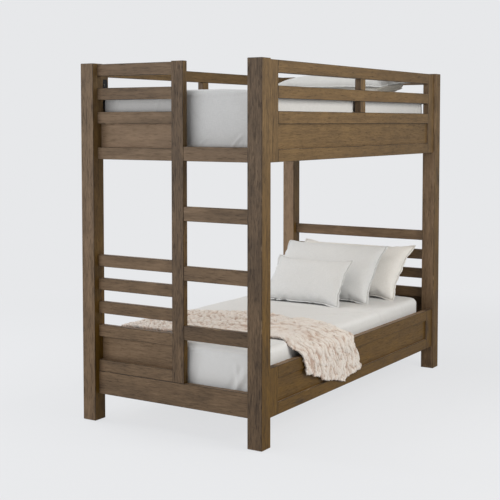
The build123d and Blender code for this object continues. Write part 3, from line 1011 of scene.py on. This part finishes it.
def tuftHeight(wide, long):
    # rounded tufts with narrow valleys between them, from 0 deep in a valley to 1 on a crest
    turnStart, turnLength = plush["turned"]
    turned = ease((long - turnStart) / turnLength)
    leanStart, leanLength, leanReach = plush["lean"]
    lean = leanReach * ease((long - leanStart) / leanLength)
    sway = pattern("sway", wide, long)
    rows = pattern("rows", wide - lean + sway, long)
    gathers = pattern("gathers", wide * 0.5 + long + sway, wide - long * 0.5)
    main = gathers * (1 - turned) + rows * turned
    beads = pattern("beads", wide - lean, long + sway)
    leftBeads, rightBeads = plush["beadDepth"]
    deep = (plush["mainDepth"] * bell(main, plush["valleyWidth"])
            + (leftBeads + rightBeads * turned) * bell(beads, plush["valleyWidth"]))
    loops = (pattern("loops", wide + long, long - wide) - plush["leftDepth"]) * (1 - turned)
    return min(max(1.0 - deep + pattern("fluff", wide, long) + loops, 0.0), 1.0)


def throwEdge(side, distance):
    # how far the front or the back edge is from the foot posts
    return reading(distance, plush[side]) + pattern(side, distance, 1)


def throwShape():
    # a fine grid of cloth, taken along the path and lifted by its tufts, folds and layers
    flatWide, flatLong = plush["flat"]
    path = throwPath()
    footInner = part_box("foot_right_post")[1].y
    toRail = sum((second - first).length for first, second in zip(path, path[1:]))
    toRail -= plush["pathDrop"]
    shape = bmesh.new()
    bmesh.ops.create_grid(shape, x_segments=plush["steps"][0], y_segments=plush["steps"][1], size=0.5)
    layer = shape.loops.layers.uv.new("cloth")
    crest = shape.verts.layers.float.new("crest")
    for face in shape.faces:
        for corner in face.loops:
            spot = corner.vert.co
            corner[layer].uv = (spot.x * flatWide, spot.y * flatLong)
    for vertex in shape.verts:
        across, share = vertex.co.x + 0.5, vertex.co.y + 0.5
        wide, long = across * flatWide, share * flatLong
        wave = math.sin(wide * plush["scallopTurn"] + pattern("scallops", wide, 0))
        drop = reading(across, plush["rightDrop"]) - plush["scallop"] * abs(wave)
        distance = share * (toRail + drop)
        point, outward = walk(path, distance)
        front = throwEdge("front", distance)
        back = throwEdge("back", distance)
        tuft = tuftHeight(wide, long)
        fold = pattern("softFolds", wide, long)
        crease = creaseDepth(across, distance)
        rise, shade = layerRise(across, distance)
        # painted shade in creases and beside layers, and painted light on raised soft folds, go into the
        # crest value
        dark = crease * plush["creaseShade"] + shade - fold * plush["foldShade"]
        vertex[crest] = min(max(tuft - dark, 0.0), 1.0)
        lift = plush["ruching"] * (tuft - plush["middleLevel"])
        lift += plush["folds"] * (fold + 0.5) - crease + rise
        point += outward * max(lift, plush["lowest"])
        vertex.co = Vector((point.x, footInner + front + (back - front) * across, point.z))
    return shape


throw = newPiece("ruched_throw", throwShape(), ruchedPile())
smoothShade(throw)
thick = throw.modifiers.new("thick", "SOLIDIFY")
thick.thickness = plush["thickness"]
thick.offset = 0.0
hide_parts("throw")
print("throw made")


# Floor, backdrop, lamps and camera

studio = {
    "backdrop": rgb(231, 232, 234),
    "floor": rgb(226, 227, 229),
    "floorSize": 14.0,
    # the floor's own light below the bed, and between what distances it grows to the backdrop's
    "floorGlow": 0.85,
    "glowGrows": (1.8, 4.2),
    "worldStrength": 0.30,
}


def shown(tree):
    # 1 for what is seen straight, mirrored or through glass
    rays = Wire(tree).add("ShaderNodeLightPath")
    return rays.other("Is Camera Ray").atLeast(rays.other("Is Glossy Ray")).atLeast(
        rays.other("Is Transmission Ray"))


def floorPaint():
    material, tree, shader = newMaterial("studioFloor", studio["floor"])
    connect(tree, shader, {}, {"Base Color": studio["floor"], "Roughness": 0.9,
                               "Specular IOR Level": 0.0})
    spot = objectPoint(tree)
    away = spot.add("ShaderNodeVectorMath", {"operation": "LENGTH"}, {0: spot}, output=1)
    glow = spot.add("ShaderNodeEmission", values={"Color": studio["backdrop"], "Strength": 1.0})
    share = shown(tree) * (studio["floorGlow"]
                           + (1 - studio["floorGlow"]) * away.between(*studio["glowGrows"]))
    blend = spot.add("ShaderNodeMixShader", values={0: share, 1: Wire(tree, shader.outputs[0]), 2: glow})
    tree.links.new(blend.socket, tree.nodes["Material Output"].inputs["Surface"])
    return material


shape = bmesh.new()
bmesh.ops.create_grid(shape, x_segments=1, y_segments=1, size=studio["floorSize"])
floor = newObject("studio_floor", shape, floorPaint())

world = bpy.data.worlds.new("studio")
scene.world = world
world.use_nodes = True
tree = world.node_tree
seen = shown(tree)
connect(tree, tree.nodes["Background"],
        {"Color": seen.mixed((1.0, 1.0, 1.0, 1.0), studio["backdrop"]),
         "Strength": studio["worldStrength"] + seen * (1 - studio["worldStrength"])}, {})

lamps = {
    # where it stands, where it looks, width and height, watts and tint
    "key": ((-1.35, -4.6, 1.65), (0.0, -1.0, 1.15), (4.2, 2.4), 83.0, (0.985, 0.99, 1.0)),
    "side": ((3.2, -0.42, 2.4), (0.4, -0.42, 1.3), (1.6, 1.6), 82.0, (1.0, 0.975, 0.925)),
    "left": ((-4.2, -0.6, 3.4), (0.0, 0.2, 0.6), (3.0, 3.0), 150.0, (0.97, 0.985, 1.0)),
    "top": ((0.3, -0.8, 5.0), (0.0, 0.0, 0.0), (4.0, 4.0), 65.0, (0.97, 0.985, 1.0)),
}
for name, (place, aim, size, watts, tint) in lamps.items():
    light = bpy.data.lights.new(name, "AREA")
    light.shape = "RECTANGLE"
    light.size, light.size_y = size
    light.energy = watts
    light.color = tint
    lamp = bpy.data.objects.new(name, light)
    lamp.location = place
    lamp.rotation_euler = (Vector(aim) - Vector(place)).to_track_quat("-Z", "Y").to_euler()
    scene.collection.objects.link(lamp)

view = {
    "lens": 78.73,
    "sensor": 36.0,
    "shift": -0.128,
    "at": (3.1467, -5.3271, 1.5318),
    # in degrees: how far it looks down, and how far it is turned to the left
    "down": 3.33,
    "turn": 32.05,
}
camera = bpy.data.cameras.new("camera")
camera.lens = view["lens"]
camera.sensor_width = view["sensor"]
camera.shift_y = view["shift"]
viewer = bpy.data.objects.new("camera", camera)
viewer.location = view["at"]
viewer.rotation_euler = (math.radians(90 - view["down"]), 0.0, math.radians(view["turn"]))
scene.collection.objects.link(viewer)
scene.camera = viewer
print("studio set up")
